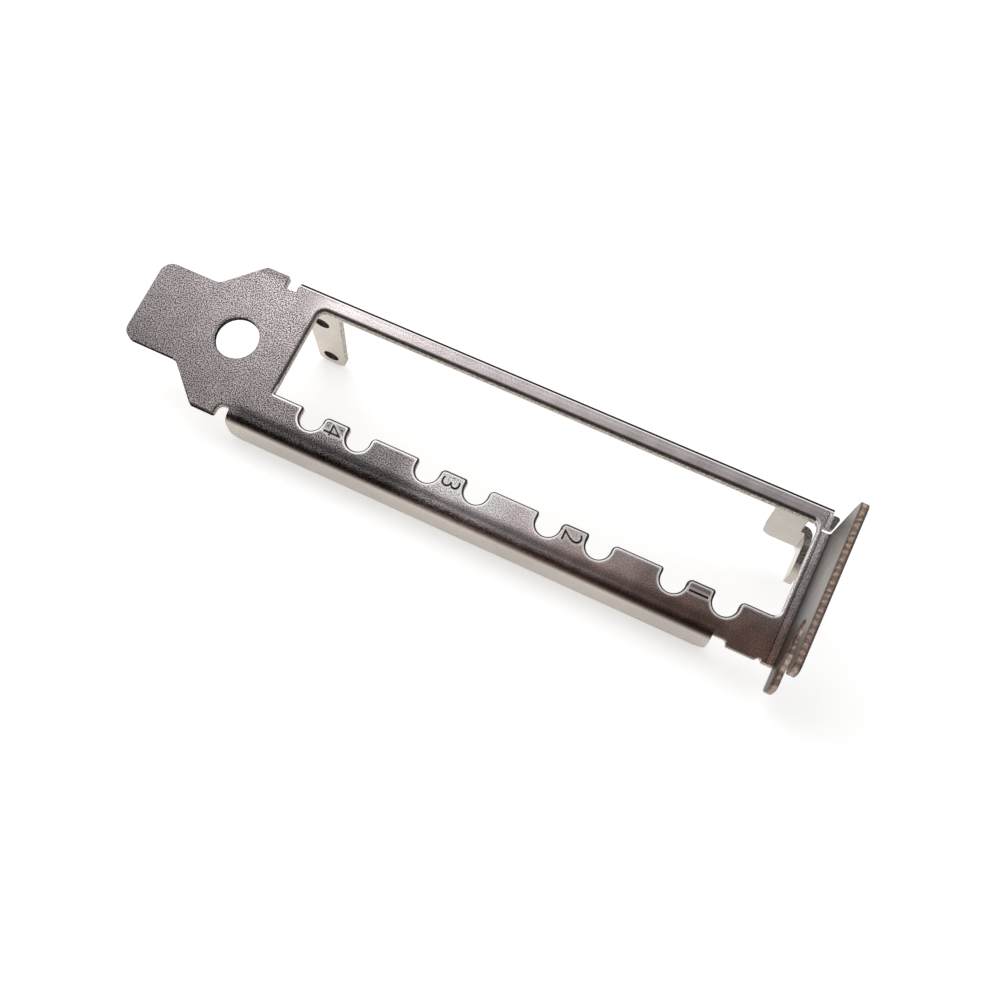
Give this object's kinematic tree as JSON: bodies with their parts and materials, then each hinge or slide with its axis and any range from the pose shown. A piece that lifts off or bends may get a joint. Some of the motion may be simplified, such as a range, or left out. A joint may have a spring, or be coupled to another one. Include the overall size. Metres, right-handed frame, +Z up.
{
  "type": "half-height expansion card bracket",
  "caption": "Folded sheet-metal bracket for a half-height computer expansion card, with a connector window, comb of grounding teeth, card tabs, tongue and slotted mounting tab.",
  "frame": {"origin": "on the table, below the middle of the part's outer box", "axes": "+X along the bracket from the tongue to the mounting tab, +Z up as it lies on its lower flange's free edge and the tip of its longer card tab, so the front face looks up and towards -Y"},
  "size_m": [0.0794, 0.0344, 0.0217],
  "materials": {
    "nickel_plated_steel": "matt, fine-grained nickel plating over steel sheet, paler on the flanges and cut edges"
  },
  "bodies": {
    "root": {"bracket": "nickel_plated_steel"}
  },
  "joints": []
}
